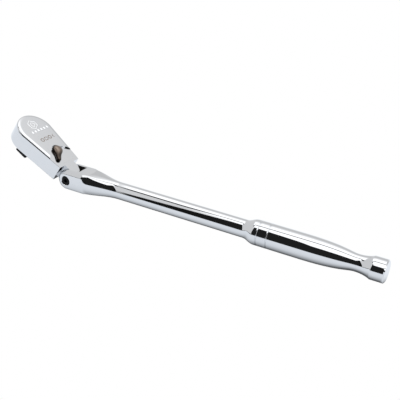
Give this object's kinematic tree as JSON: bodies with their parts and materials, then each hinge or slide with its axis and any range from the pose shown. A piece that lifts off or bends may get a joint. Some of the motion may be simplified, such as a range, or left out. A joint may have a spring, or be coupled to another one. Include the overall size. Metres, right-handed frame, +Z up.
{
  "type": "flex-head ratchet wrench",
  "caption": "Polished flex-head ratchet wrench: teardrop head on a forked handle, square drive, reversing lever, long round shaft with a turned grip and end knob.",
  "frame": {"origin": "root of the drive square, on the drive axis, with the head at its stored angle of 32 degrees above the handle", "axes": "+X along the handle towards the knob, +Y along the pivot screw away from its socket head, +Z up out of the handle's top; the drive axis leans 32 degrees in the XZ plane"},
  "size_m": [0.2745, 0.0282, 0.043],
  "materials": {
    "polished_chrome": "mirror-polished chrome plate on a chrome vanadium forging",
    "black_oxide": "black oxide on hardened steel, oiled",
    "bright_steel": "ground bright steel",
    "hardened_steel": "hardened steel, machined and oiled",
    "dark_nickel": "black nickel plate on a smooth casting",
    "rubber": "nitrile rubber",
    "spring_steel": "drawn spring steel"
  },
  "bodies": {
    "handle": {"handle_forging": "polished_chrome", "pivot_screw": "black_oxide", "flex_spring": "spring_steel"},
    "flex_pin": {"flex_plunger": "bright_steel"},
    "head": {"head_body": "polished_chrome", "cover_plate": "polished_chrome", "cover_screws": "black_oxide", "pawl_pin": "bright_steel", "flex_washers": "spring_steel", "gear_washer": "spring_steel"},
    "drive": {"drive_gear": "black_oxide", "drive_ball_spring": "spring_steel"},
    "ball": {"drive_ball": "bright_steel"},
    "lever": {"reverse_lever": "dark_nickel", "lever_o_ring": "rubber", "lever_clip": "spring_steel", "pawl_spring_lower": "spring_steel", "pawl_spring_upper": "spring_steel"},
    "pawl_a": {"pawl_lower": "hardened_steel"},
    "pawl_b": {"pawl_upper": "hardened_steel"},
    "pin_a": {"pawl_plunger_lower": "bright_steel"},
    "pin_b": {"pawl_plunger_upper": "bright_steel"}
  },
  "joints": [
    {"name": "flex", "type": "hinge", "parent": "handle", "child": "head", "pos_m": [0.03865, 0, -0.0159], "axis": [0, 1, 0], "range_deg": [-122, 58]},
    {"name": "flex_click", "type": "slide", "parent": "handle", "child": "flex_pin", "axis": [1, 0, 0], "range_m": [0, 0.0006], "stiffness_N_per_m": 2000, "springref_m": -0.0005, "deforming": ["flex_spring"]},
    {"name": "drive_spin", "type": "hinge", "parent": "head", "child": "drive", "pos_m": [0, 0, 0], "axis": [0.5299, 0, 0.848], "continuous": true},
    {"name": "ball_press", "type": "slide", "parent": "drive", "child": "ball", "axis": [0, 1, 0], "range_m": [0, 0.0005], "stiffness_N_per_m": 1500, "springref_m": -0.0005, "deforming": ["drive_ball_spring"]},
    {"name": "lever_swing", "type": "hinge", "parent": "head", "child": "lever", "pos_m": [0.02472, 0, 0.00012], "axis": [0.5299, 0, 0.848], "range_deg": [0, 80]},
    {"name": "pawl_a_rock", "type": "hinge", "parent": "head", "child": "pawl_a", "pos_m": [0.0138, 0, -0.00037], "axis": [0.5299, 0, 0.848], "range_deg": [-10, 0]},
    {"name": "pawl_b_rock", "type": "hinge", "parent": "head", "child": "pawl_b", "pos_m": [0.0138, 0, -0.00037], "axis": [0.5299, 0, 0.848], "range_deg": [-10, 0]},
    {"name": "pin_a_press", "type": "slide", "parent": "lever", "child": "pin_a", "axis": [0.6496, -0.6428, -0.4059], "range_m": [0, 0.0004], "stiffness_N_per_m": 500, "springref_m": -0.0005, "deforming": ["pawl_spring_lower"]},
    {"name": "pin_b_press", "type": "slide", "parent": "lever", "child": "pin_b", "axis": [0.6496, -0.6428, -0.4059], "range_m": [0, 0.0004], "stiffness_N_per_m": 500, "springref_m": -0.0005, "deforming": ["pawl_spring_upper"]}
  ],
  "couplings": [
    {"joint": "pawl_a_rock", "follows": "lever_swing", "ratio": -0.125},
    {"joint": "pawl_b_rock", "follows": "lever_swing", "ratio": -0.125}
  ]
}
